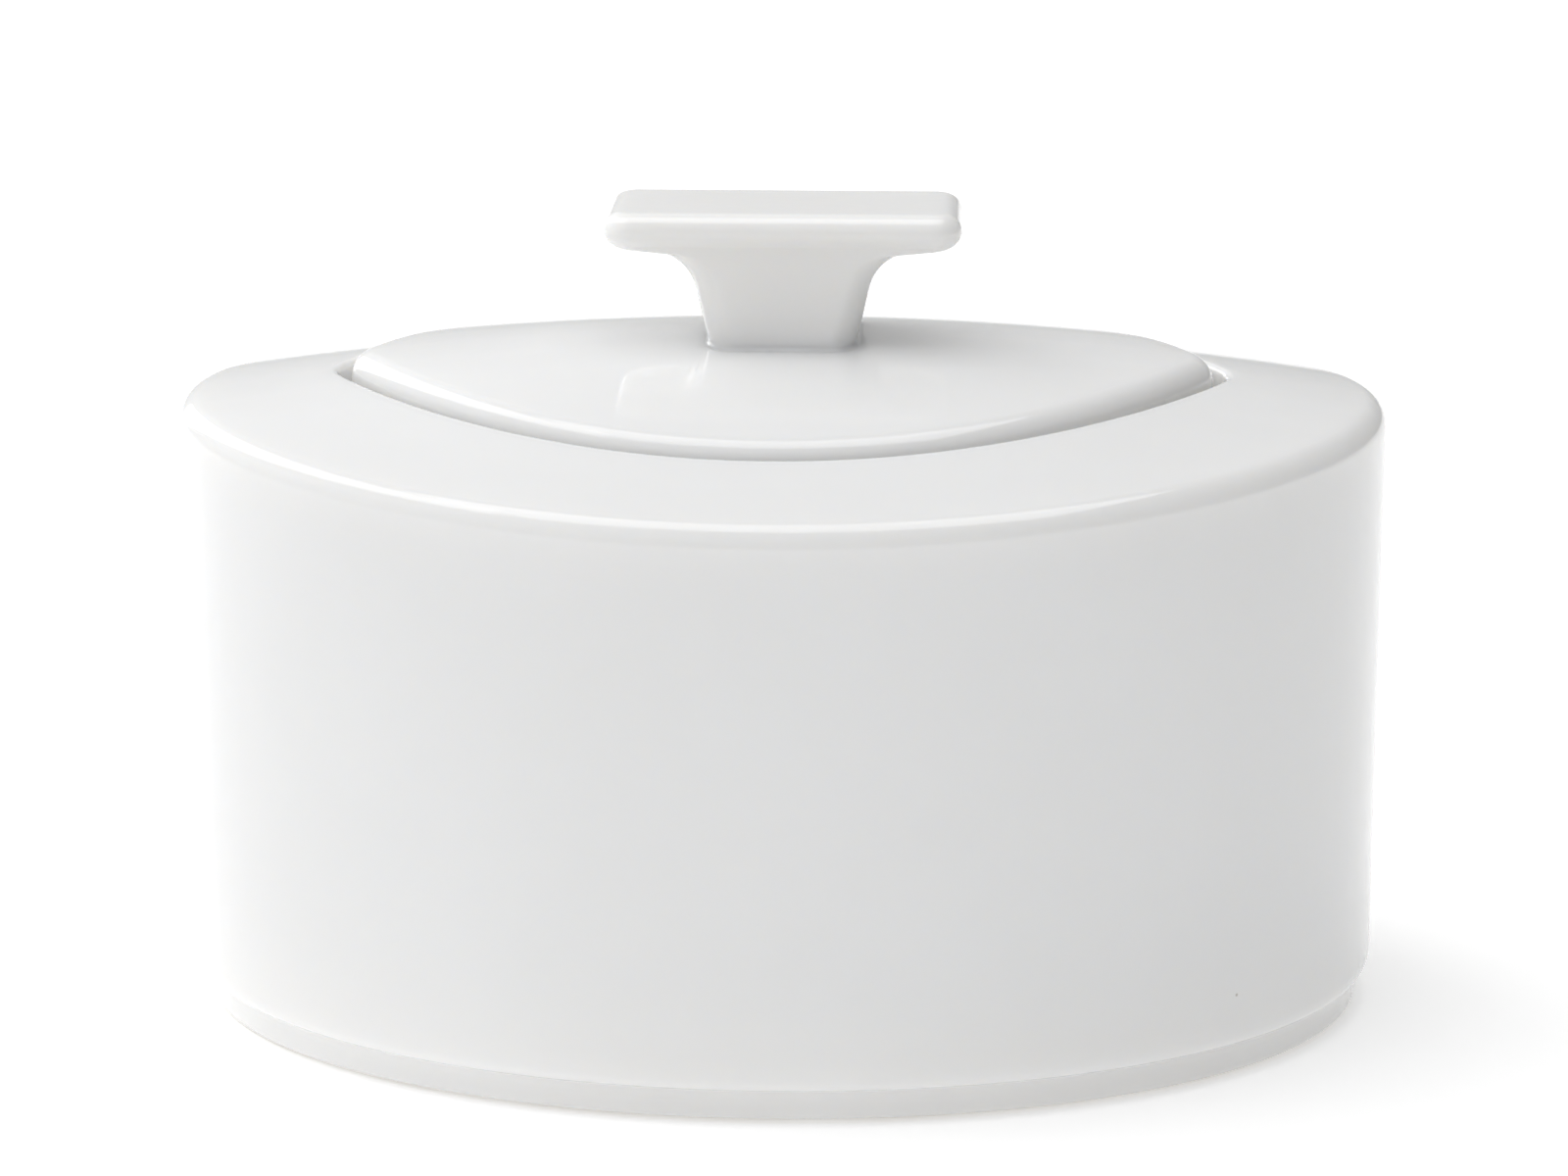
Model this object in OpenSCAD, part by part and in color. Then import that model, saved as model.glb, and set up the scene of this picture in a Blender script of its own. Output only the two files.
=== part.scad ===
// Covered sugar bowl in glazed porcelain: an oval bowl with a domed shoulder and a lens-shaped
// opening, a loose lid that drops into that opening, and a T-shaped knob luted onto the lid.
// Units are millimetres. +Z is up, +X runs along the bowl's length, and the origin is on the
// table under the middle of the foot.

/* [Bowl] */
// Length over the wall, end to end
bowl_length = 130; // [118:1:160]
// Width over the wall, front to back
bowl_width = 92; // [84:1:112]
// Height that the shoulder's dome reaches over the middle of the bowl
crown_height = 71.8; // [56:0.2:90]
// Radius of the dome along the bowl
dome_r_long = 410; // [300:2:600]
// Radius of the dome across the bowl
dome_r_cross = 118; // [100:1:200]
// Radius of the rolled edge between the shoulder and the wall
shoulder_roll = 2.8; // [1.5:0.1:5]
// Thickness of the side wall
wall = 3.8; // [3:0.1:5]
// Thickness of the shoulder
shoulder_thick = 4; // [3:0.1:5]
// Thickness of the floor inside the foot ring
floor_thick = 4; // [3:0.1:6]
// Radius of the hollow where the floor meets the wall
floor_round = 9; // [4:0.5:14]

/* [Foot] */
// Height of the foot ring below the wall
foot_height = 3.5; // [2.5:0.1:5]
// How far the foot ring stands in from the wall
foot_inset = 1.5; // [0.8:0.1:2.4]
// Height over which the wall's lower edge rounds in to the foot
wall_round = 2.4; // [1:0.1:4]
// Width of the foot ring
foot_width = 5; // [3:0.1:8]
// Depth of the recess inside the foot ring
foot_recess = 2; // [1:0.1:3]

/* [Opening] */
// Half of the opening's length
opening_half_length = 47.8; // [45:0.1:52]
// Half of the opening's width
opening_half_width = 32.9; // [29:0.1:35]
// Radius of the opening's two tips
opening_tip_r = 7; // [6.2:0.1:9]
// Radius of the lip around the opening
lip_round = 0.9; // [0.4:0.1:1.4]
// Depth of the ledge that the lid rests on, below the crown of the shoulder's dome
seat_depth = 6.6; // [5.8:0.1:8]
// Width of that ledge
seat_width = 4; // [3:0.1:4.4]
// Thickness of the ledge
seat_thick = 3.2; // [3:0.1:4.5]
// Thickness of the wall around the ledge
gallery_wall = 3; // [2:0.1:4]

/* [Lid] */
// Gap between the lid's long edges and the opening
side_gap = 0.8; // [0.6:0.1:1.6]
// Gap between the lid's tips and the opening
tip_gap = 1.4; // [1:0.1:2.6]
// Height of the lid's dome above the shoulder's dome
lid_rise = 1.6; // [0.8:0.1:3]
// Radius of the lid's dome across the bowl
lid_r_cross = 100; // [80:1:200]
// Radius of the lid's rolled edge
lid_roll = 2.4; // [1:0.1:2.6]
// Thickness of the lid inside its collar
lid_thick = 3.8; // [3:0.1:4.6]
// Depth of the collar below the ledge's top
collar_depth = 6; // [4:0.5:9]
// Thickness of the collar
collar_wall = 2.8; // [2:0.1:3.6]
// Gap between the collar and the ledge
collar_gap = 1; // [0.6:0.1:1.4]
// Gap under the lid where it rests on the ledge
seat_gap = 0.3; // [0.1:0.1:0.5]

/* [Knob] */
// Length of the bar
bar_length = 38; // [32:1:46]
// Width of the bar, front to back
bar_width = 18; // [16:0.5:22]
// Thickness of the bar
bar_thick = 4.6; // [4:0.1:6]
// Radius of the bar's long edges and ends
bar_round = 1.9; // [1:0.1:1.9]
// Radius of the bar's corners, seen from above
bar_corner = 3; // [1.5:0.1:4]
// Height of the bar's top above the crown of the lid
knob_height = 14; // [12:0.2:20]
// Length of the stem where it stands on the lid
stem_foot = 16.2; // [12:0.2:18]
// Length of the stem just under the bar's hollows
stem_neck = 17.8; // [14:0.2:20]
// Width of the stem, front to back
stem_width = 16.6; // [12:0.2:17]
// Radius of the stem's upright edges
stem_corner = 3; // [1.5:0.1:4]
// Radius of the hollows between the stem and the bar
hollow_r = 5; // [3:0.1:5.6]
// Depth of the flat bed that the stem is luted into, at the crown of the lid
bed_depth = 0.8; // [0.7:0.1:1.2]
// Gap around the stem in its bed
bed_gap = 0.1; // [0.05:0.05:0.2]

/* [Hidden] */
$fn = 96;
// How far a cutting shape runs past the face that it cuts
over = 1;
half_length = bowl_length / 2;
half_width = bowl_width / 2;

// Outlines seen from above, each as [half length, half width, tip radius]
opening = [opening_half_length, opening_half_width, opening_tip_r];
lid_edge = [opening_half_length - tip_gap, opening_half_width - side_gap, opening_tip_r - side_gap];
collar_inset = seat_width + collar_gap;
hollow_tip_r = 1.5;
lid_hollow = [
    opening_half_length - collar_inset - collar_wall - hollow_tip_r,
    opening_half_width - collar_inset - collar_wall,
    hollow_tip_r
];
bed = [stem_foot / 2 + bed_gap, stem_width / 2 + bed_gap, stem_corner + bed_gap];

seat_height = crown_height - seat_depth;
ledge_bottom = seat_height - seat_thick;
floor_height = foot_recess + floor_thick;
lid_bottom = seat_height + seat_gap;
lid_crown = crown_height + lid_rise;
collar_bottom = seat_height - collar_depth;
bed_height = lid_crown - bed_depth;
bar_top = lid_crown + knob_height;
bar_under = bar_top - bar_thick;
hollow_height = bar_under - hollow_r;

// Directions in which the outlines are sampled, closer together towards the two tips
steps = 72;
crowding = 24;
directions = [for (i = [0:steps - 1]) let (t = 360 * i / steps) t - crowding * sin(2 * t)];
// Flat steps in a rolled edge
roll_steps = 4;

// Fall of an arc of radius r at distance d from its top
function sag(r, d) = r - sqrt(r * r - d * d);

// Heights of the two domes over a point, and of a level face
function shoulder_dome(p) = crown_height - sag(dome_r_long, p[0]) - sag(dome_r_cross, p[1]);
function lid_dome(p) = lid_crown - sag(dome_r_long, p[0]) - sag(lid_r_cross, p[1]);
function level(z) = function(p) z;
function under(dome, depth) = function(p) dome(p) - depth;
shoulder = function(p) shoulder_dome(p);
lid_top = function(p) lid_dome(p);

// Point at a distance r from the axis in a direction
function polar(r, direction) = [r * cos(direction), r * sin(direction)];

// Point of the bowl's ellipse, inset from the wall
rim = function(inset, direction)
    let (a = half_length - inset, b = half_width - inset)
    polar(a * b / norm([b * cos(direction), a * sin(direction)]), direction);

// Distance along a ray to the far side of a circle of radius r with its centre at c
function ray_to_circle(c, r, direction) =
    let (along = c * polar(1, direction))
    along + sqrt(along * along + r * r - c * c);

// Outline with two long arcs and two tips that meet smoothly. The long arcs' centres lie
// offset from the middle, and all four arcs keep their centres when the outline is inset.
function lens(o) =
    let (
        long_r = (pow(o[0] - o[2], 2) + pow(o[1], 2) - pow(o[2], 2)) / (2 * (o[1] - o[2])),
        offset = long_r - o[1],
        reach = o[0] - o[2]
    )
    function(inset, direction)
        let (
            tip = atan2(offset * (o[2] - inset), reach * (long_r - inset)),
            side = cos(direction) < 0 ? -1 : 1,
            face = sin(direction) < 0 ? 1 : -1
        )
        polar(
            abs(sin(direction)) <= sin(tip)
                ? ray_to_circle([side * reach, 0], o[2] - inset, direction)
                : ray_to_circle([0, face * offset], long_r - inset, direction),
            direction
        );
mouth = lens(opening);
lid_outline = lens(lid_edge);
hollow_outline = lens(lid_hollow);

// Rectangle with round corners, given as [half length, half width, corner radius]
function round_rectangle(o) = function(inset, direction)
    let (
        x = abs(cos(direction)),
        y = abs(sin(direction)),
        r = o[2] - inset,
        corner = [o[0] - o[2], o[1] - o[2]],
        end_r = (o[0] - inset) / max(x, 0.001),
        side_r = (o[1] - inset) / max(y, 0.001)
    )
    polar(
        end_r * y <= corner[1] ? end_r
            : side_r * x <= corner[0] ? side_r
            : ray_to_circle(corner, r, atan2(y, x)),
        direction
    );
bed_outline = round_rectangle(bed);

// Ring of points on an outline, each at the height that a function gives for its place
function ring(outline, inset, height) = [
    for (direction = directions)
        let (p = outline(inset, direction))
        [p[0], p[1], height(p)]
];

// Ring part of the way from one outline to another
function ring_between(a, a_inset, b, b_inset, share, height) = [
    for (direction = directions)
        let (p = (1 - share) * a(a_inset, direction) + share * b(b_inset, direction))
        [p[0], p[1], height(p)]
];

// Rings of an edge rolled over from an upright wall into a dome. In each direction it is an arc
// of radius r that touches the wall and the dome's slope there.
function rolled_edge(outline, dome, r) = [
    for (k = [0:roll_steps]) [
        for (direction = directions)
            let (
                edge = dome(outline(0, direction)),
                slope = (dome(outline(r, direction)) - edge) / r,
                turn = (90 - atan(slope)) * k / roll_steps,
                p = outline(r * (1 - cos(turn)), direction)
            )
            [p[0], p[1], edge + r * (slope - sqrt(1 + slope * slope) + sin(turn))]
    ]
];

// List in the opposite order
function reversed(list) = [for (i = [len(list) - 1:-1:0]) list[i]];

// Closed skin over rings in order, from the first at the top and middle, out, down and back in.
// The first and the last ring are level, and each is closed by triangles about its middle.
module skin(rings) {
    last = len(rings) - 1;
    first_middle = len(rings) * steps;
    points = [
        for (r = rings) each r,
        [0, 0, rings[0][0][2]],
        [0, 0, rings[last][0][2]]
    ];
    faces = [
        for (i = [0:steps - 1])
            let (j = (i + 1) % steps)
            each [
                for (k = [0:last - 1]) each [
                    [k * steps + i, k * steps + j, (k + 1) * steps + i],
                    [k * steps + j, (k + 1) * steps + j, (k + 1) * steps + i]
                ],
                [j, i, first_middle],
                [last * steps + i, last * steps + j, first_middle + 1]
            ]
    ];
    polyhedron(points, faces, convexity = 6);
}

// Bowl: its rings run from the recess in the foot up the outside, over the shoulder and down the
// inside, so they are turned round for the skin
module bowl() {
    inner_roll = 2;
    underside = [
        ring(rim, foot_inset + foot_width, level(foot_recess)),
        ring(rim, foot_inset + foot_width, level(0)),
        ring(rim, foot_inset, level(0))
    ];
    wall_base = [
        for (turn = [0:30:90])
            ring(rim, foot_inset * (1 - sin(turn)), level(foot_height + wall_round * (1 - cos(turn))))
    ];
    top = [
        for (share = [0.3, 0.65])
            ring_between(rim, shoulder_roll, mouth, -lip_round, share, shoulder)
    ];
    lip = [
        ring(mouth, -lip_round, shoulder),
        ring(mouth, -lip_round * (1 - sin(45)), under(shoulder, lip_round * (1 - cos(45)))),
        ring(mouth, 0, under(shoulder, lip_round))
    ];
    ledge = [
        ring(mouth, 0, level(seat_height)),
        ring(mouth, seat_width, level(seat_height)),
        ring(mouth, seat_width, level(ledge_bottom)),
        ring(mouth, -gallery_wall, level(ledge_bottom))
    ];
    ceiling = [
        ring(mouth, -gallery_wall, under(shoulder, shoulder_thick)),
        ring(rim, wall + inner_roll, under(shoulder, shoulder_thick)),
        ring(rim, wall, under(shoulder, shoulder_thick + inner_roll))
    ];
    inside = [
        for (turn = [0:22.5:90])
            ring(rim, wall + floor_round * (1 - cos(turn)),
                level(floor_height + floor_round * (1 - sin(turn))))
    ];
    color("white")
        skin(reversed(concat(
            underside, wall_base, rolled_edge(rim, shoulder, shoulder_roll),
            top, lip, ledge, ceiling, inside
        )));
}

// Lid: out from the knob's bed over the dome, round the edge and up the inside of the collar
module lid() {
    edge_round = 0.8;
    top = [
        ring(bed_outline, 0, level(bed_height)),
        ring(bed_outline, 0, lid_top),
        for (share = [0.3, 0.6])
            ring_between(bed_outline, 0, lid_outline, lid_roll, share, lid_top)
    ];
    base = [
        ring(lid_outline, 0, level(lid_bottom + edge_round)),
        ring(lid_outline, edge_round, level(lid_bottom)),
        ring(mouth, collar_inset, level(lid_bottom)),
        ring(mouth, collar_inset, level(collar_bottom))
    ];
    inside = [
        ring(hollow_outline, 0, level(collar_bottom)),
        ring(hollow_outline, 0, under(lid_top, lid_thick)),
        ring_between(hollow_outline, 0, bed_outline, 0, 0.5, under(lid_top, lid_thick)),
        ring(bed_outline, 0, level(bed_height - lid_thick + bed_depth / 2))
    ];
    color("white")
        skin(concat(top, reversed(rolled_edge(lid_outline, lid_top, lid_roll)), base, inside));
}

// Rectangle about the origin with round corners
module rounded(size, r) {
    square([size[0] - 2 * r, size[1]], center = true);
    square([size[0], size[1] - 2 * r], center = true);
    for (x = [-1, 1], y = [-1, 1])
        translate([x * (size[0] / 2 - r), y * (size[1] / 2 - r)])
            circle(r = r);
}

// Bar seen from the front or from the side, as high as it is thick
module bar_section(length) {
    translate([0, bar_top - bar_thick / 2])
        rounded([length, bar_thick], bar_round);
}

// Stem seen from the front, spreading into the bar through two round hollows
module stem_section() {
    spread = stem_neck / 2 + hollow_r;
    polygon([
        [-stem_foot / 2, bed_height],
        [stem_foot / 2, bed_height],
        [stem_neck / 2, hollow_height],
        [-stem_neck / 2, hollow_height]
    ]);
    difference() {
        translate([-spread, hollow_height])
            square([2 * spread, hollow_r + bar_thick / 2]);
        for (x = [-spread, spread])
            translate([x, hollow_height])
                circle(r = hollow_r);
    }
}

// Shape drawn in the X-Z plane and extruded along Y, centred on it
module along_y(length) {
    translate([0, length / 2, 0])
        rotate([90, 0, 0])
        linear_extrude(length)
        children();
}

module knob() {
    color("white") {
        intersection() {
            along_y(bar_width + over)
                bar_section(bar_length);
            rotate([0, 0, 90])
                along_y(bar_length + over)
                bar_section(bar_width);
            linear_extrude(bar_top + over)
                rounded([bar_length, bar_width], bar_corner);
        }
        intersection() {
            along_y(stem_width)
                stem_section();
            union() {
                linear_extrude(bar_top)
                    rounded([stem_foot, stem_width], stem_corner);
                translate([0, 0, hollow_height])
                    linear_extrude(bar_top)
                    square([bar_length, stem_width], center = true);
            }
        }
    }
}

bowl();
lid();
knob();
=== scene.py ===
# %% [markdown]
# # A covered sugar bowl in white porcelain
# The real object is three pieces of fired clay: an oval bowl with a domed shoulder, a loose lid
# shaped like a lens, and a T-shaped knob that was luted onto the lid with wet clay.
# The CAD frame is loaded first and never moved. Every porcelain piece below is worked out around
# it, because the frame says where a piece is and these pieces say how it looks.

import math

import bpy
import numpy as np
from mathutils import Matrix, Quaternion, Vector


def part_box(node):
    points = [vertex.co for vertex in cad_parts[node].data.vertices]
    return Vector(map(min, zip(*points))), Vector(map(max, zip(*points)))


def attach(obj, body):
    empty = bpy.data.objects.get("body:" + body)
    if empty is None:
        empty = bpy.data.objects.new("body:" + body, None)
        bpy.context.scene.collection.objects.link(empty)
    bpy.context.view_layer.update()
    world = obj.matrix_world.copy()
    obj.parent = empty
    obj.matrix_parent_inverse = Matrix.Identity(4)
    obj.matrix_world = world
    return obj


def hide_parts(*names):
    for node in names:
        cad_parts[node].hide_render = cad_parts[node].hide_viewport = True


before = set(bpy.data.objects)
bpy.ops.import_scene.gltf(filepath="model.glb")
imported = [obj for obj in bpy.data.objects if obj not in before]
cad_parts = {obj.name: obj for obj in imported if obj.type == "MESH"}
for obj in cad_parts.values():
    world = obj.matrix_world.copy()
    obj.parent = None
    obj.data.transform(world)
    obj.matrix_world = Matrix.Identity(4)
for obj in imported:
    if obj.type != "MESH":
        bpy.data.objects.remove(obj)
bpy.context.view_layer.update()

# %% [markdown]
# ## Sizes
# A potter works in millimetres and Blender in metres. The sizes are kept in millimetres, as they
# would be on a working drawing, and a mesh is scaled once, when it is made. The overall sizes are
# read from the CAD solids, so the porcelain follows them when they change.

# %% Sizes of the three solids
mm = 0.001


def size_of(node):
    """Lowest and highest corner of a CAD solid, in millimetres."""
    low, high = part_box(node)
    return np.array(low) / mm, np.array(high) / mm


_, bowl_high = size_of("bowl")
lid_low, lid_high = size_of("lid")
knob_low, knob_high = size_of("knob")

half_length, half_width = bowl_high[0], bowl_high[1]
lid_half_length, lid_half_width = lid_high[0], lid_high[1]
bar_top = knob_high[2]
print("bowl", half_length * 2, "by", half_width * 2, "knob top", bar_top)

# %% Domes, opening and seat
# Shoulder and lid are shallow domes: radius along the bowl, and radius across it. The knob's bed
# cuts the top off the lid's dome, a little under the crown.
bed_under_crown = 0.08
lid_crown = lid_high[2] + bed_under_crown
shoulder_crown = 71.8
dome_along = 410.0
shoulder_across = 118.0
lid_across = 100.0

# Opening in the shoulder, and the lid in it: half length, half width, radius of the tips. The
# porcelain lid is a little fuller than its solid at the two long sides.
opening = (47.8, 32.9, 7.0)
fuller = 0.3
lid_edge = (lid_half_length, lid_half_width + fuller, 6.4)
seat_height = 65.2
seat_width = 4.0
print("crowns", shoulder_crown, lid_crown, "play at the sides", opening[1] - lid_edge[1])

# %% [markdown]
# ## Outlines
# Seen from above, the wall is an ellipse and the opening is a lens with blunt tips. A surface that
# runs from one to the other needs both outlines sampled in the same directions, so each outline is
# a function of the direction from the middle. The directions crowd together towards the two tips,
# where the lens turns most.

# %% Directions
direction_count = 384
tip_crowding = math.radians(24)
turn = np.linspace(0, 2 * np.pi, direction_count, endpoint=False)
direction = turn - tip_crowding * np.sin(2 * turn)
ray = np.stack([np.cos(direction), np.sin(direction)], axis=1)
steps = np.degrees(np.diff(direction))
print(direction_count, "directions,", steps.min(), "to", steps.max(), "degrees apart")

# %% Outline of the wall


def wall_outline(inset):
    """Ellipse inset from the wall: distance a b / sqrt((b cos)^2 + (a sin)^2) along each ray."""
    a, b = half_length - inset, half_width - inset
    reach = a * b / np.hypot(b * ray[:, 0], a * ray[:, 1])
    return ray * reach[:, None]


print("wall reaches", wall_outline(0).max(axis=0))

# %% Outline of a lens


def to_circle(centre, radius):
    """Distance along each ray to the far side of a circle: c.u + sqrt((c.u)^2 + r^2 - c^2)."""
    along = (centre * ray).sum(axis=1)
    under_root = along**2 + radius**2 - (centre**2).sum(axis=1)
    return along + np.sqrt(np.maximum(under_root, 0))


def lens_outline(lens, inset):
    """Two long arcs and two tip arcs that meet smoothly. All four keep their centres when the
    outline is inset, so only their radii shrink."""
    length, width, tip = lens
    long_radius = ((length - tip) ** 2 + width**2 - tip**2) / (2 * (width - tip))
    offset, reach = long_radius - width, length - tip
    meeting = np.arctan2(offset * (tip - inset), reach * (long_radius - inset))
    side = np.where(ray[:, 0] < 0, -1.0, 1.0)
    face = np.where(ray[:, 1] < 0, 1.0, -1.0)
    nothing = np.zeros(direction_count)
    at_tip = to_circle(np.stack([side * reach, nothing], axis=1), tip - inset)
    at_side = to_circle(np.stack([nothing, face * offset], axis=1), long_radius - inset)
    reach_to = np.where(np.abs(ray[:, 1]) <= np.sin(meeting), at_tip, at_side)
    return ray * reach_to[:, None]


print("opening reaches", lens_outline(opening, 0).max(axis=0))

# %% Outline of the bed


def bed_outline(half_x, half_y, corner):
    """Rectangle with round corners, met by each ray on an end, on a side or on a corner."""
    x, y = np.abs(ray[:, 0]), np.abs(ray[:, 1])
    end, side = half_x / np.maximum(x, 1e-6), half_y / np.maximum(y, 1e-6)
    middle = np.array([half_x - corner, half_y - corner])
    along = middle[0] * x + middle[1] * y
    root = np.sqrt(np.maximum(along**2 + corner**2 - (middle**2).sum(), 0))
    reach = np.where(end * y <= middle[1], end, np.where(side * x <= middle[0], side, along + root))
    return ray * reach[:, None]


print("a bed of 8 by 6 reaches", bed_outline(4, 3, 1).max(axis=0))

# %% [markdown]
# ## Heights
# A dome that is round in both directions falls by r - sqrt(r^2 - d^2) at a distance d from its
# middle, once for each direction. The same formula serves the shoulder and the lid, so the lid
# stays parallel to the shoulder around it.

# %% Domes


def dome(plan, crown, across):
    """Height of a dome over points: the crown less the fall along and the fall across."""
    fall_along = dome_along - np.sqrt(dome_along**2 - plan[:, 0] ** 2)
    fall_across = across - np.sqrt(across**2 - plan[:, 1] ** 2)
    return crown - fall_along - fall_across


def shoulder_height(plan, depth=0.0):
    """Height of the shoulder over points, or of a face at a depth under it."""
    return dome(plan, shoulder_crown - depth, shoulder_across)


def lid_height(plan, depth=0.0):
    """Height of the lid's top over points, or of a face at a depth under it."""
    return dome(plan, lid_crown - depth, lid_across)


print("shoulder falls along by", shoulder_crown - shoulder_height(wall_outline(0))[0])

# %% Rings


def ring(plan, height):
    """One ring of points: a plan outline with one height, or with a height for each point."""
    return np.column_stack([plan, np.broadcast_to(height, len(plan))])


def quarter(start, end, count):
    """Angles of part of a turn, in degrees, as radians."""
    return np.radians(np.linspace(start, end, count))


print("quarter turn in three angles", quarter(0, 90, 3))

# %% Rolled edges


def outline_at(outline, inset):
    """Outline whose inset differs from ray to ray: the inset at each ray, between two outlines
    that bracket it."""
    low, high = inset.min(), inset.max()
    if high - low < 1e-9:
        return outline(low)
    share = ((inset - low) / (high - low))[:, None]
    return outline(low) * (1 - share) + outline(high) * share


def rolled_edge(outline, height, radius, count):
    """Rings of an edge rolled from an upright wall into a dome. In each direction it is an arc
    that touches the wall and the line of the dome's own slope near where the arc ends."""
    touch, step = 0.85 * radius, 0.1
    slope = (height(outline(touch + step)) - height(outline(touch - step))) / (2 * step)
    edge = height(outline(touch)) - slope * touch
    rings = []
    for share in np.linspace(0, 1, count):
        angle = (np.pi / 2 - np.arctan(slope)) * share
        inset = radius * (1 - np.cos(angle))
        rise = radius * (slope - np.sqrt(1 + slope**2) + np.sin(angle))
        plan = outline_at(outline, inset)
        rings.append(ring(plan, edge + rise))
    return rings


sample_roll = rolled_edge(wall_outline, shoulder_height, 2, 9)
print("a 2 mm roll rises by", (sample_roll[-1] - sample_roll[0])[:, 2].max())

# %% Rings on a dome


def between(first, last, count, height):
    """Rings spread evenly from one outline to another, each lying on a dome."""
    shares = np.linspace(0, 1, count + 2)[1:-1]
    return [ring(p, height(p)) for p in (first * (1 - s) + last * s for s in shares)]


print(len(between(wall_outline(9), wall_outline(3), 4, shoulder_height)), "rings between two")

# %% [markdown]
# ## From rings to a closed skin
# Thrown and cast ware is a skin that turns back on itself, with no open edge. Rings are joined to
# their neighbours by four-sided faces, and the first and the last ring are closed by triangles
# about a point in their middle. Rings that run from underneath, outwards, up and back in give
# faces that point outwards.

# %% Skins


def skin(name, rings):
    """Mesh of quads between rings, with a fan of triangles about each end's middle."""
    grid = np.stack(rings) * mm
    ring_count, count = grid.shape[:2]
    ends = np.stack([grid[0].mean(axis=0), grid[-1].mean(axis=0)])
    points = np.concatenate([grid.reshape(-1, 3), ends])
    here = np.arange(count)
    after = (here + 1) % count
    row = (np.arange(ring_count - 1) * count)[:, None]
    quads = np.stack(
        [row + here, row + after, row + count + after, row + count + here], axis=-1
    ).reshape(-1, 4)
    last = (ring_count - 1) * count
    first_fan = np.stack([after, here, np.full(count, ring_count * count)], axis=1)
    last_fan = np.stack([last + here, last + after, np.full(count, ring_count * count + 1)], axis=1)
    mesh = bpy.data.meshes.new(name)
    corners = np.concatenate([quads.ravel(), first_fan.ravel(), last_fan.ravel()]).astype(np.int32)
    sizes = np.concatenate([np.full(len(quads), 4), np.full(2 * count, 3)])
    starts = np.concatenate([[0], np.cumsum(sizes)[:-1]]).astype(np.int32)
    mesh.vertices.add(len(points))
    mesh.vertices.foreach_set("co", points.astype(np.float32).ravel())
    mesh.loops.add(len(corners))
    mesh.loops.foreach_set("vertex_index", corners)
    mesh.polygons.add(len(sizes))
    mesh.polygons.foreach_set("loop_start", starts)
    mesh.update(calc_edges=True)
    mesh.validate()
    mesh.shade_smooth()
    piece = bpy.data.objects.new(name, mesh)
    bpy.context.scene.collection.objects.link(piece)
    print(name, len(points), "points", len(sizes), "faces")
    return piece


# %% [markdown]
# ## Bowl
# The bowl is cast, so its wall has one thickness and no sharp edges: the shoulder rolls over into
# the wall, the lip of the opening is softened by wiping, and the wall tucks in under itself above
# a low foot ring. Inside the opening is a ledge for the lid. One skin carries all of it, from the
# recess inside the foot ring, up the outside, over the shoulder and down to the floor inside.

# %% Sizes of the bowl
foot_height = 3.4
foot_inset = 1.55
foot_width = 5.0
recess = 2.0
tuck_in, tuck_up = 1.45, 2.5
wall_thickness = 3.8
shoulder_roll = 2.8
lip_round = 0.9
ledge_bottom = 62.0
print("wall", wall_thickness, "foot ring", foot_width, "by", foot_height)

# %% Foot ring


def foot_rings():
    """Recess, fillet, inner face, round sole and outer face of the foot ring."""
    inner = foot_inset + foot_width
    fillet, edge, draft, sole_top = 1.2, 0.7, 0.1, 2.0
    recess_gaps = (24, 12, 4, 1)
    rings = [ring(wall_outline(inner + fillet + gap), recess) for gap in recess_gaps]
    for a in quarter(0, 90, 7):
        plan = wall_outline(inner + fillet * (1 - np.sin(a)))
        rings.append(ring(plan, recess - fillet * (1 - np.cos(a))))
    for a in quarter(0, 90, 7):
        rings.append(ring(wall_outline(inner - edge * (1 - np.cos(a))), edge * (1 - np.sin(a))))
    for a in quarter(0, 90, 7):
        plan = wall_outline(foot_inset + draft + edge * (1 - np.sin(a)))
        rings.append(ring(plan, edge * (1 - np.cos(a))))
    rings.append(ring(wall_outline(foot_inset + draft / 2), sole_top))
    rings.append(ring(wall_outline(foot_inset), foot_height - 0.3))
    return rings


print(len(foot_rings()), "rings of the foot")

# %% Wall above the foot


def wall_rings():
    """Tuck above the foot, a quarter of an ellipse, and then the upright wall."""
    levels = (6.6, 12, 20, 30, 40, 50, 57)
    rings = []
    for a in quarter(6, 90, 12):
        plan = wall_outline(tuck_in * (1 - np.sin(a)))
        rings.append(ring(plan, foot_height + tuck_up * (1 - np.cos(a))))
    return rings + [ring(wall_outline(0), z) for z in levels]


print(len(wall_rings()), "rings of the wall")

# %% Lip and ledge


def lip_rings():
    """Lip of the opening: a small arc from the shoulder down into the throat."""
    rings = []
    for a in quarter(0, 90, 9):
        plan = lens_outline(opening, -lip_round * (1 - np.sin(a)))
        rings.append(ring(plan, shoulder_height(plan, lip_round * (1 - np.cos(a)))))
    return rings


def ledge_rings():
    """Throat, the ledge with softened corners, and its underside."""
    soft = 0.5
    rings = []
    for a in quarter(0, 90, 6):
        plan = lens_outline(opening, soft * (1 - np.cos(a)))
        rings.append(ring(plan, seat_height + soft * (1 - np.sin(a))))
    for a in quarter(0, 90, 6):
        plan = lens_outline(opening, seat_width - soft * (1 - np.sin(a)))
        rings.append(ring(plan, seat_height - soft * (1 - np.cos(a))))
    for a in quarter(0, 90, 6):
        plan = lens_outline(opening, seat_width - soft * (1 - np.cos(a)))
        rings.append(ring(plan, ledge_bottom + soft * (1 - np.sin(a))))
    rings.append(ring(lens_outline(opening, 0.4), ledge_bottom))
    return rings


print(len(lip_rings()), "rings of the lip,", len(ledge_rings()), "of the ledge")

# %% Inside


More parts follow.
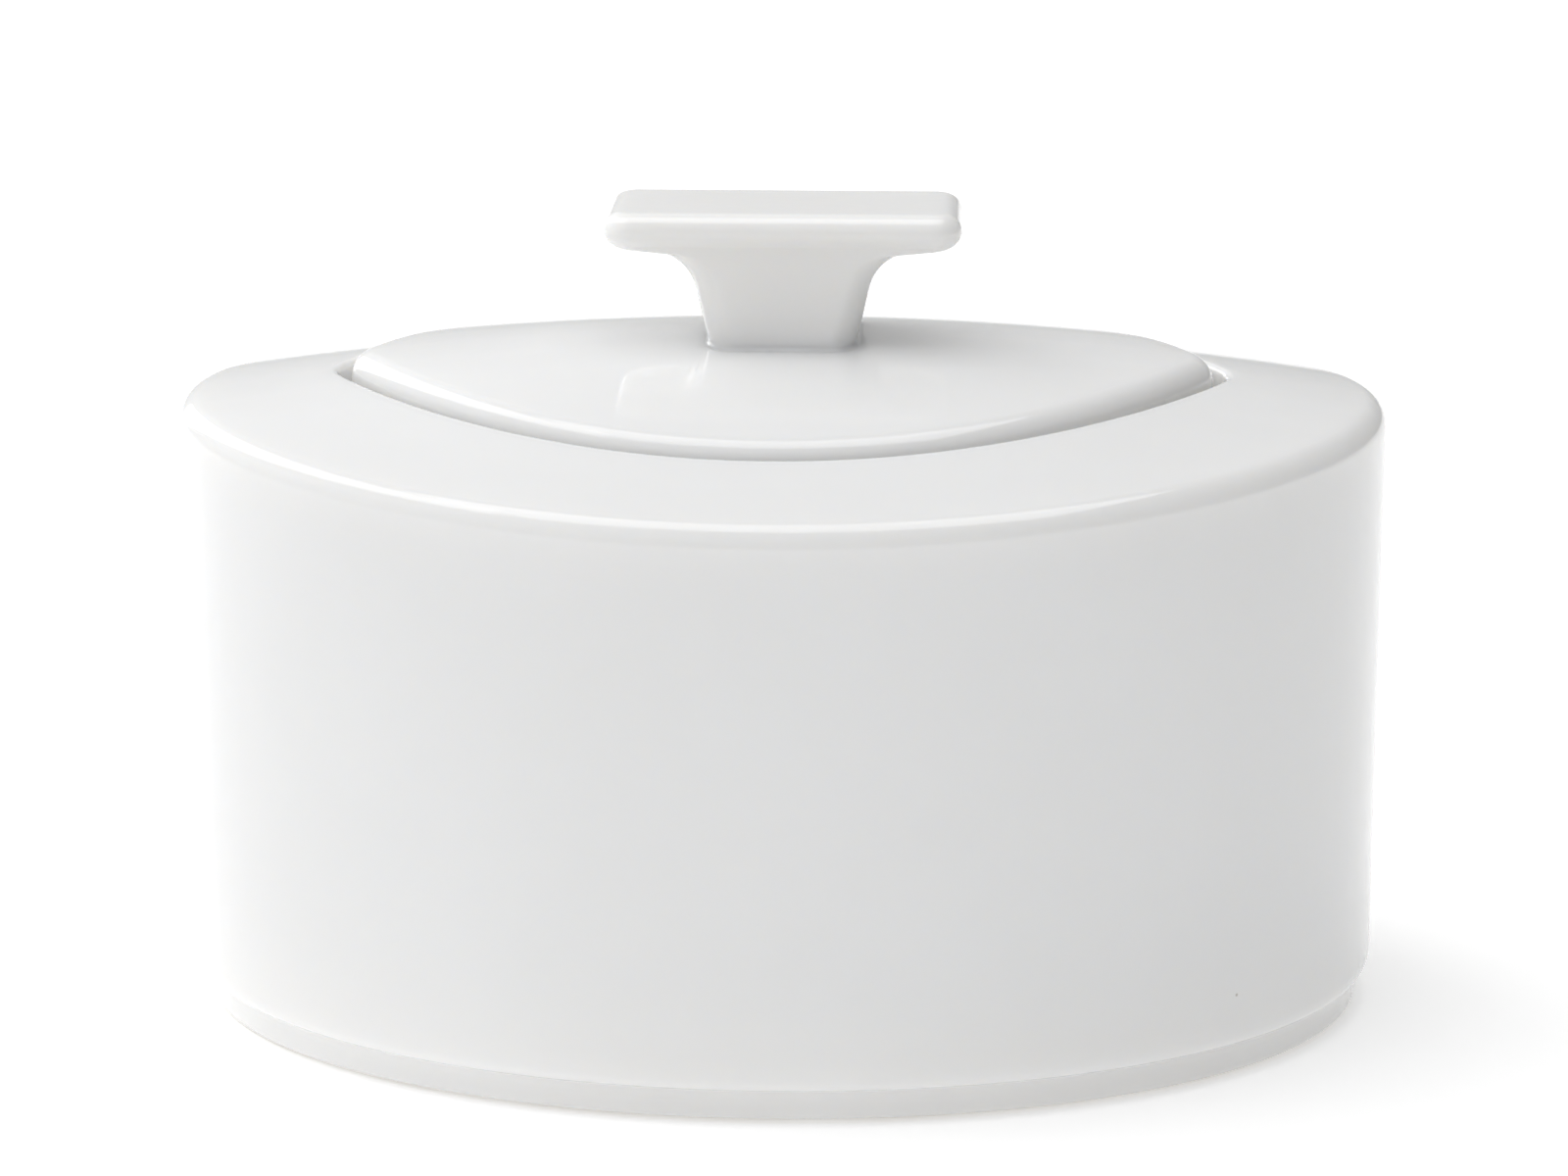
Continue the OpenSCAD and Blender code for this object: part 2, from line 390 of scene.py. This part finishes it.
def inside_rings():
    """Ceiling under the shoulder, the inside of the wall and the round into the floor."""
    depth, ceiling_round, floor_round, floor_height = 4.0, 2.6, 9.0, 6.0
    levels, floor_gaps, gallery_depth = (52, 42, 32, 22), (4, 12, 22), 3.0
    gallery = lens_outline(opening, -gallery_depth)
    ceiling_end = wall_outline(wall_thickness + ceiling_round)
    ledge_end = lens_outline(opening, 0.4 - gallery_depth)
    rings = [ring(ledge_end, ledge_bottom), ring(gallery, ledge_bottom + 0.25)]
    rings.append(ring(gallery, shoulder_height(gallery, depth + 0.1)))
    rings += between(gallery, ceiling_end, 5, lambda p: shoulder_height(p, depth))
    for a in quarter(0, 90, 8):
        plan = wall_outline(wall_thickness + ceiling_round * (1 - np.sin(a)))
        rings.append(ring(plan, shoulder_height(plan, depth + ceiling_round * (1 - np.cos(a)))))
    rings += [ring(wall_outline(wall_thickness), z) for z in levels]
    for a in quarter(0, 90, 14):
        plan = wall_outline(wall_thickness + floor_round * (1 - np.cos(a)))
        rings.append(ring(plan, floor_height + floor_round * (1 - np.sin(a))))
    for gap in floor_gaps:
        rings.append(ring(wall_outline(wall_thickness + floor_round + gap), floor_height))
    return rings


print(len(inside_rings()), "rings of the inside")

# %% Bowl
roll = rolled_edge(wall_outline, shoulder_height, shoulder_roll, 15)
lip = lip_rings()
top = between(roll[-1][:, :2], lip[0][:, :2], 14, shoulder_height)
bowl_rings = foot_rings() + wall_rings() + roll + top + lip + ledge_rings() + inside_rings()
bowl = skin("bowl_body", bowl_rings)

# %% [markdown]
# ## Lid
# The lid is pressed in one piece with a collar underneath, which keeps it from sliding off the
# ledge. Its edge is a soft roll that stands a little above the shoulder, and a flat bed at its
# crown takes the knob. The skin runs from the ceiling under the crown, down the collar, out under
# the edge and back over the dome to the bed.

# %% Sizes of the lid
collar_drop = 6.3
lid_bottom = lid_low[2] + collar_drop
collar_bottom = lid_low[2]
collar_outside = 5.0
lid_roll = 2.8
bed_height = knob_low[2]
# Bed for the knob: half length, half width, corner radius. The knob was luted on by hand, and sits
# a little right of the middle with its bed.
bed = (8.25, 8.45, 3.1)
knob_offset = 0.35
# Hollow under the lid, inside the collar: half length, half width, radius of the tips
hollow = (opening[0] - 9.3, opening[1] - 7.8, 1.5)
print("lid rests at", lid_bottom, "and its collar reaches down to", collar_bottom)

# %% Under the lid


def lid_underside():
    """Ceiling under the crown, the inside and outside of the collar and the flat that rests."""
    thickness, ceiling_soft, collar_soft, corner_soft, edge_soft = 3.8, 1.6, 0.9, 0.6, 0.8
    inside, middle = lens_outline(hollow, 0), bed_outline(*bed) * 0.6
    ceiling = inside * 0.93
    rings = [ring(middle, lid_height(middle, thickness + 0.4))]
    rings += between(middle, ceiling, 8, lambda p: lid_height(p, thickness))
    for a in quarter(0, 90, 6):
        plan = ceiling * (1 - np.sin(a)) + inside * np.sin(a)
        rings.append(ring(plan, lid_height(plan, thickness + ceiling_soft * (1 - np.cos(a)))))
    rings.append(ring(inside, collar_bottom + 2.2))
    outside = lens_outline(opening, collar_outside)
    for a in quarter(0, 180, 11):
        share = (1 - np.cos(a)) / 2
        plan = inside * (1 - share) + outside * share
        rings.append(ring(plan, collar_bottom + collar_soft * (1 - np.sin(a))))
    for a in quarter(0, 90, 6):
        plan = lens_outline(opening, collar_outside - corner_soft * (1 - np.cos(a)))
        rings.append(ring(plan, lid_bottom - corner_soft * (1 - np.sin(a))))
    for a in quarter(0, 90, 7):
        plan = lens_outline(lid_edge, edge_soft * (1 - np.sin(a)))
        rings.append(ring(plan, lid_bottom + edge_soft * (1 - np.cos(a))))
    return rings


print(len(lid_underside()), "rings under the lid")

# %% Top of the lid


def lid_topside():
    """Rolled edge, dome, and the bed's softened rim and flat."""
    soft = 0.2
    edge = rolled_edge(lambda inset: lens_outline(lid_edge, inset), lid_height, lid_roll, 15)
    aside = np.array([knob_offset, 0])
    rim = bed_outline(*(np.array(bed) + soft)) + aside
    rings = edge + between(edge[-1][:, :2], rim, 16, lid_height) + [ring(rim, lid_height(rim))]
    for a in quarter(20, 90, 4):
        plan = bed_outline(*(np.array(bed) + soft * (1 - np.sin(a)))) + aside
        rings.append(ring(plan, lid_height(plan, soft * (1 - np.cos(a)))))
    rings.append(ring(bed_outline(*bed) + aside, bed_height))
    return rings


lid = skin("lid_body", lid_underside() + lid_topside())

# %% [markdown]
# ## Knob
# The knob is pressed in a mould as one T: a stem that flares upwards, a round hollow under each
# arm and a bar with soft edges. Level slices through it are rectangles with round corners, so it
# is made as slices from the foot up, with each slice's half length, half width, corner radius and
# height taken from the T's front and side views.

# %% Pattern of a slice
corner_points, side_points = 20, 18


def slice_pattern():
    """Unit slice: for each point, which corner it belongs to and the way it faces. Between two
    corners the point slides along the side and the way it faces stays."""
    signs = np.array([[1, 1], [-1, 1], [-1, -1], [1, -1]], float)
    corners, facings = [], []
    for k in range(4):
        a = np.radians(90 * k + np.linspace(0, 90, corner_points))
        corners.append(np.repeat(signs[k : k + 1], corner_points, axis=0))
        facings.append(np.stack([np.cos(a), np.sin(a)], axis=1))
        share = np.linspace(0, 1, side_points + 2)[1:-1, None]
        corners.append(signs[k] * (1 - share) + signs[(k + 1) % 4] * share)
        facings.append(np.repeat(facings[-1][-1:], side_points, axis=0))
    return np.concatenate(corners), np.concatenate(facings)


print(len(slice_pattern()[0]), "points in a slice")

# %% Front and side views of the knob


def knob_views():
    """Columns of half length, half width, corner radius and height, from the foot to the top."""
    bar_half, bar_half_width, bar_round = knob_high[0], knob_high[1], 1.95
    stem_lean, stem_half_width, stem_corner = 0.235, 8.4, 3.0
    hollow_x, hollow_z, hollow_radius = 14.13, 78.2, 5.0
    hollow_end, arm_slope = math.radians(83), math.tan(math.radians(6))
    lean = math.atan(stem_lean)
    touch = hollow_z + hollow_radius * math.sin(lean)
    z_stem = np.linspace(lid_crown + 0.1, touch, 12)[:-1]
    x_stem = hollow_x - hollow_radius * math.cos(lean) - stem_lean * (touch - z_stem)
    a = np.pi - np.linspace(lean, hollow_end, 22)
    x_hollow, z_hollow = hollow_x + hollow_radius * np.cos(a), hollow_z + hollow_radius * np.sin(a)
    roll_x = bar_half - bar_round
    x_under = np.linspace(x_hollow[-1], roll_x, 6)[1:-1]
    z_under = z_hollow[-1] + arm_slope * (x_under - x_hollow[-1])
    z_low, z_high = z_under[-1] + 0.06, bar_top
    around = quarter(-90, 90, 23)
    x_roll = roll_x + bar_round * np.cos(around)
    z_roll = (z_low + z_high) / 2 + (z_high - z_low) / 2 * np.sin(around)
    y_roll = bar_half_width - bar_round * (1 - np.cos(around))
    below = np.concatenate([x_stem, x_hollow, x_under])
    y_below = np.full(len(below), stem_half_width)
    y_roll = np.where(around < 0, np.maximum(y_roll, stem_half_width), y_roll)
    share = np.linspace(1, 0.12, 9)[1:]
    half_x = np.concatenate([below, x_roll, x_roll[-1] * share])
    half_y = np.concatenate([y_below, y_roll, y_roll[-1] * share])
    corner = np.concatenate([
        np.full(len(below), stem_corner),
        stem_corner - (bar_round - bar_round * np.cos(around)) * (around > 0),
        (stem_corner - bar_round) * share,
    ])
    height = np.concatenate([z_stem, z_hollow, z_under, z_roll, np.full(len(share), bar_top)])
    return half_x, half_y, corner, height


print("slices of the T:", len(knob_views()[0]))

# %% Slices


def slices(half_x, half_y, corner, height):
    """Slices: corner sign times (half size - corner radius), plus corner radius times facing."""
    corners, facings = slice_pattern()
    inner = np.stack([half_x - corner, half_y - corner], axis=1)
    plan = corners[None] * inner[:, None] + facings[None] * corner[:, None, None]
    level = np.broadcast_to(height[:, None, None], plan.shape[:2] + (1,))
    grid = np.concatenate([plan, level], axis=2)
    grid[:, :, 0] += knob_offset
    return grid


def luted_foot(half_x, half_y, corner):
    """Bead of glaze at the joint: slices that spread a little and follow the lid's dome, so each
    point's height is the dome's height there plus the bead's rise."""
    spread = np.array([0.25, 0.62, 0.5, 0.34, 0.2, 0.1, 0.03])
    rise = np.array([-0.5, -0.06, 0.0, 0.04, 0.12, 0.22, 0.36])
    grid = slices(half_x + spread, half_y + spread, corner + spread, rise)
    dome_height = lid_height(grid[:, :, :2].reshape(-1, 2)).reshape(grid.shape[:2])
    grid[1:, :, 2] += dome_height[1:]
    grid[0, :, 2] = bed_height
    return grid


# %% Knob


def knob_rings():
    """The luted foot and then the slices of the T."""
    views = knob_views()
    return list(luted_foot(views[0][0], views[1][0], views[2][0])) + list(slices(*views))


print("slices of the luted foot and the T:", len(knob_rings()))
knob = skin("knob_body", knob_rings())

# %% [markdown]
# ## Glaze and bare clay
# Porcelain is white clay under clear glass. The glass gives a sharp reflection on top of a soft
# white body, and light goes a few millimetres into the clay, which softens its shadows. Fired
# glaze is never quite even: it lies in long gentle waves, it has a fine orange-peel skin, and here
# and there a speck of iron or a pinhole shows. Each of those is a node of its own at its own
# scale. Where a piece stood in the kiln it is wiped free of glaze, and bare clay shows there.

# %% New material


def finish_nodes(name):
    """New material with its node tree, its shader and a socket of Object coordinates."""
    material = bpy.data.materials.new(name)
    material.use_nodes = True
    nodes, links = material.node_tree.nodes, material.node_tree.links
    shader = nodes["Principled BSDF"]
    place = nodes.new("ShaderNodeTexCoord").outputs["Object"]
    return material, nodes, links, shader, place


# %% Noise and ramp


def add_noise(nodes, links, place, scale, detail, roughness=0.5):
    """Noise texture at so many features a metre, read at Object coordinates."""
    noise = nodes.new("ShaderNodeTexNoise")
    noise.inputs["Scale"].default_value = scale
    noise.inputs["Detail"].default_value = detail
    noise.inputs["Roughness"].default_value = roughness
    links.new(place, noise.inputs["Vector"])
    return noise.outputs["Fac"]


def add_ramp(nodes, links, value, stops):
    """Colour ramp from a value, with stops of place and colour."""
    ramp = nodes.new("ShaderNodeValToRGB")
    links.new(value, ramp.inputs["Fac"])
    for element, (where, colour) in zip(ramp.color_ramp.elements, stops):
        element.position = where
        element.color = colour
    return ramp.outputs["Color"]


# %% Spots


def add_spots(nodes, links, place, cell, radius, share):
    """Round spots in a share of the cells: one where a point is inside a spot, fading to zero."""
    cells = nodes.new("ShaderNodeTexVoronoi")
    cells.inputs["Scale"].default_value = 1 / cell
    links.new(place, cells.inputs["Vector"])
    near = nodes.new("ShaderNodeMapRange")
    near.inputs["From Min"].default_value = radius / cell
    near.inputs["From Max"].default_value = 0.45 * radius / cell
    links.new(cells.outputs["Distance"], near.inputs["Value"])
    parts = nodes.new("ShaderNodeSeparateColor")
    links.new(cells.outputs["Color"], parts.inputs["Color"])
    chosen = nodes.new("ShaderNodeMath")
    chosen.operation = "LESS_THAN"
    chosen.inputs[1].default_value = share
    links.new(parts.outputs["Red"], chosen.inputs[0])
    both = nodes.new("ShaderNodeMath")
    both.operation = "MULTIPLY"
    links.new(near.outputs["Result"], both.inputs[0])
    links.new(chosen.outputs["Value"], both.inputs[1])
    return both.outputs["Value"]


# %% Bump


def add_bump(nodes, links, height, distance, strength, below=None):
    """Bump of a real height in metres, laid over the bump below it."""
    bump = nodes.new("ShaderNodeBump")
    bump.inputs["Distance"].default_value = distance
    bump.inputs["Strength"].default_value = strength
    links.new(height, bump.inputs["Height"])
    if below is not None:
        links.new(below, bump.inputs["Normal"])
    return bump.outputs["Normal"]


# %% White glaze


def make_glaze():
    """Clear glaze on white porcelain: faint cloudy colour, rare specks, waves and orange peel."""
    material, nodes, links, shader, place = finish_nodes("white_glaze")
    clouds = add_noise(nodes, links, place, scale=22, detail=3)
    greyer, whiter = (0.83, 0.828, 0.82, 1), (0.855, 0.855, 0.85, 1)
    body = add_ramp(nodes, links, clouds, [(0.3, greyer), (0.7, whiter)])
    specks = add_spots(nodes, links, place, cell=0.016, radius=0.00022, share=0.05)
    speckled = nodes.new("ShaderNodeMix")
    speckled.data_type = "RGBA"
    links.new(specks, speckled.inputs["Factor"])
    links.new(body, speckled.inputs["A"])
    speckled.inputs["B"].default_value = (0.56, 0.54, 0.5, 1)
    links.new(speckled.outputs["Result"], shader.inputs["Base Color"])
    sheen_patches = add_noise(nodes, links, place, scale=60, detail=2)
    dull = nodes.new("ShaderNodeMapRange")
    dull.inputs["To Min"].default_value = 0.045
    dull.inputs["To Max"].default_value = 0.085
    links.new(sheen_patches, dull.inputs["Value"])
    links.new(dull.outputs["Result"], shader.inputs["Roughness"])
    waves = add_noise(nodes, links, place, scale=28, detail=1)
    peel = add_noise(nodes, links, place, scale=420, detail=2)
    pinholes = add_spots(nodes, links, place, cell=0.011, radius=0.0002, share=0.06)
    waved = add_bump(nodes, links, waves, distance=0.0006, strength=0.16)
    peeled = add_bump(nodes, links, peel, distance=0.00003, strength=0.2, below=waved)
    pitted = add_bump(nodes, links, pinholes, distance=-0.00004, strength=0.6, below=peeled)
    links.new(pitted, shader.inputs["Normal"])
    shader.inputs["IOR"].default_value = 1.5
    shader.inputs["Coat Weight"].default_value = 0.35
    shader.inputs["Coat Roughness"].default_value = 0.03
    shader.inputs["Subsurface Weight"].default_value = 0.45
    shader.inputs["Subsurface Radius"].default_value = (1.0, 0.9, 0.75)
    shader.inputs["Subsurface Scale"].default_value = 0.007
    return material


glaze = make_glaze()
print(glaze.name, len(glaze.node_tree.nodes), "nodes")

# %% Bare clay


def make_bare_clay():
    """Fired clay without glaze: dry, a little warmer, with a sanded grain."""
    material, nodes, links, shader, place = finish_nodes("bare_clay")
    grain = add_noise(nodes, links, place, scale=2200, detail=4, roughness=0.7)
    tone = add_noise(nodes, links, place, scale=90, detail=3)
    warmer, paler = (0.78, 0.75, 0.7, 1), (0.84, 0.82, 0.78, 1)
    colour = add_ramp(nodes, links, tone, [(0.3, warmer), (0.7, paler)])
    links.new(colour, shader.inputs["Base Color"])
    sanded = add_bump(nodes, links, grain, distance=0.00008, strength=0.7)
    links.new(sanded, shader.inputs["Normal"])
    shader.inputs["Roughness"].default_value = 0.85
    return material


bare_clay = make_bare_clay()
print(bare_clay.name, len(bare_clay.node_tree.nodes), "nodes")

# %% [markdown]
# ## Which faces are bare
# Glaze would weld a piece to the kiln shelf or the lid to its seat. The sole of the foot ring, the
# ledge and the face of the lid that rests on it are wiped clean. Those faces are found by where
# they are and which way they face, and take the second material.

# %% Glaze the pieces


def glaze_piece(piece, bare=None):
    """Give a piece its glaze, and bare clay to faces that a test on centre and normal picks."""
    mesh = piece.data
    mesh.materials.append(glaze)
    if bare is None:
        return
    mesh.materials.append(bare_clay)
    count = len(mesh.polygons)
    centre, normal = np.zeros(count * 3, np.float32), np.zeros(count * 3, np.float32)
    mesh.polygons.foreach_get("center", centre)
    mesh.polygons.foreach_get("normal", normal)
    picked = bare(centre.reshape(-1, 3) / mm, normal.reshape(-1, 3))
    mesh.polygons.foreach_set("material_index", picked.astype(np.int32))
    print(piece.name, int(picked.sum()), "bare faces")


# %% Bare places


def sole_or_ledge(centre, normal):
    """Faces looking straight down at the table, or straight up on the ledge. The shoulder passes
    the ledge's height too, so the ledge's faces are also within an ellipse over the opening."""
    near_table, near_seat = 0.25, 0.2
    sole = (centre[:, 2] < near_table) & (normal[:, 2] < -0.6)
    inside_opening = np.hypot(centre[:, 0] / opening[0], centre[:, 1] / opening[1]) < 1
    level_with_seat = np.abs(centre[:, 2] - seat_height) < near_seat
    return sole | (inside_opening & level_with_seat & (normal[:, 2] > 0.9))


def resting_flat(centre, normal):
    """Faces of the lid that look straight down at the ledge."""
    near_seat = 0.25
    return (np.abs(centre[:, 2] - lid_bottom) < near_seat) & (normal[:, 2] < -0.85)


glaze_piece(bowl, sole_or_ledge)
glaze_piece(lid, resting_flat)
glaze_piece(knob)

# %% Bodies and nodes
for piece, body, node in [(bowl, "bowl", "bowl"), (lid, "lid", "lid"), (knob, "lid", "knob")]:
    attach(piece, body)
    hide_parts(node)
    print(piece.name, "rides on", body, "and stands for", node)


# %% [markdown]
# ## Table and light
# White ware is lit by large soft sources and stands on a bright white table, so it is drawn by
# gentle greys: light on the left, darker to the right. A soft strip at the left is rolled in its
# own plane, and puts a narrow bright line on every rolled edge that faces it. A soft box overhead
# lights the groove round the lid. The white room is brighter at the left, above and behind.

# %% Table
table_mesh = bpy.data.meshes.new("table_top")
far = 6.0
table_corners = [(-far, -far, 0), (far, -far, 0), (far, far, 0), (-far, far, 0)]
table_mesh.from_pydata(table_corners, [], [(0, 1, 2, 3)])
table = bpy.data.objects.new("table_top", table_mesh)
bpy.context.scene.collection.objects.link(table)
hair_below = 0.0002
table.location.z = -hair_below
table_white = bpy.data.materials.new("table_white")
table_white.use_nodes = True
table_shader = table_white.node_tree.nodes["Principled BSDF"]
table_shader.inputs["Base Color"].default_value = (0.88, 0.88, 0.88, 1)
table_shader.inputs["Roughness"].default_value = 0.7
table_shader.inputs["Specular IOR Level"].default_value = 0.1
table_shader.inputs["Emission Color"].default_value = (1, 1, 1, 1)
table_shader.inputs["Emission Strength"].default_value = 0.29
table_mesh.materials.append(table_white)
print("table", 2 * far, "m square")

# %% Soft boxes


def soft_box(name, place, aim, size, power, roll=0.0):
    """Rectangular area light at a place, turned towards a point and rolled in its own plane."""
    light = bpy.data.lights.new(name, "AREA")
    light.shape = "RECTANGLE"
    light.size, light.size_y = size
    light.energy = power
    box = bpy.data.objects.new(name, light)
    box.location = place
    facing = (Vector(aim) - Vector(place)).to_track_quat("-Z", "Y")
    box.rotation_euler = (facing @ Quaternion((0, 0, 1), roll)).to_euler()
    bpy.context.scene.collection.objects.link(box)
    print(name, size, "m", power, "W")
    return box


object_middle = (0, 0, 0.045)
strip_roll = math.radians(40.6)
soft_box("left_strip", (-1.0, 0.6, 1.12), (0, 0.6, 1.12), (2.9, 0.95), 19, strip_roll)
soft_box("top_box", (0.0, -0.1, 1.5), object_middle, (1.4, 1.0), 8.5)

# %% White room
world = bpy.data.worlds.new("white_room")
bpy.context.scene.world = world
world.use_nodes = True
room, wire = world.node_tree.nodes, world.node_tree.links
room_place = room.new("ShaderNodeTexCoord").outputs["Generated"]


def growing_towards(side):
    """Light that grows towards one side: dot product of the direction looked in and a vector."""
    slope = room.new("ShaderNodeVectorMath")
    slope.operation = "DOT_PRODUCT"
    slope.inputs[1].default_value = side
    wire.new(room_place, slope.inputs[0])
    return slope.outputs["Value"]


def combine(operation, first, second):
    """Sum, or larger, of two sockets, or of a socket and a number."""
    node = room.new("ShaderNodeMath")
    node.operation = operation
    wire.new(first, node.inputs[0])
    if isinstance(second, (int, float)):
        node.inputs[1].default_value = second
    else:
        wire.new(second, node.inputs[1])
    return node.outputs["Value"]


left_and_above = combine("ADD", growing_towards((-0.36, 0, 0.22)), 0.37)
behind = combine("MAXIMUM", growing_towards((0, 0.16, 0)), 0)
wire.new(combine("ADD", left_and_above, behind), room["Background"].inputs["Strength"])
room["Background"].inputs["Color"].default_value = (1, 1, 1, 1)
print("white room made of", len(room), "nodes")

# %% [markdown]
# ## Camera
# A long lens from a little above keeps the ellipses calm. The camera stands just right of the
# middle and looks at the middle of the bowl.

# %% Camera
aim = Vector((0.0003, 0, 0.0448))
stand_off, elevation, swing = 0.51948, math.radians(14.83), math.radians(2.26)
level = math.cos(elevation)
away = Vector((level * math.sin(swing), -level * math.cos(swing), math.sin(elevation)))
camera_data = bpy.data.cameras.new("camera")
camera_data.lens, camera_data.sensor_width = 109.4, 36
camera = bpy.data.objects.new("camera", camera_data)
camera.location = aim + away * stand_off
camera.rotation_euler = (-away).to_track_quat("-Z", "Y").to_euler()
bpy.context.scene.collection.objects.link(camera)
scene = bpy.context.scene
scene.camera = camera
scene.view_settings.view_transform = "Standard"
print("camera at", tuple(round(c, 4) for c in camera.location), "lens", camera_data.lens, "mm")

# %% Update the scene
bpy.context.view_layer.update()
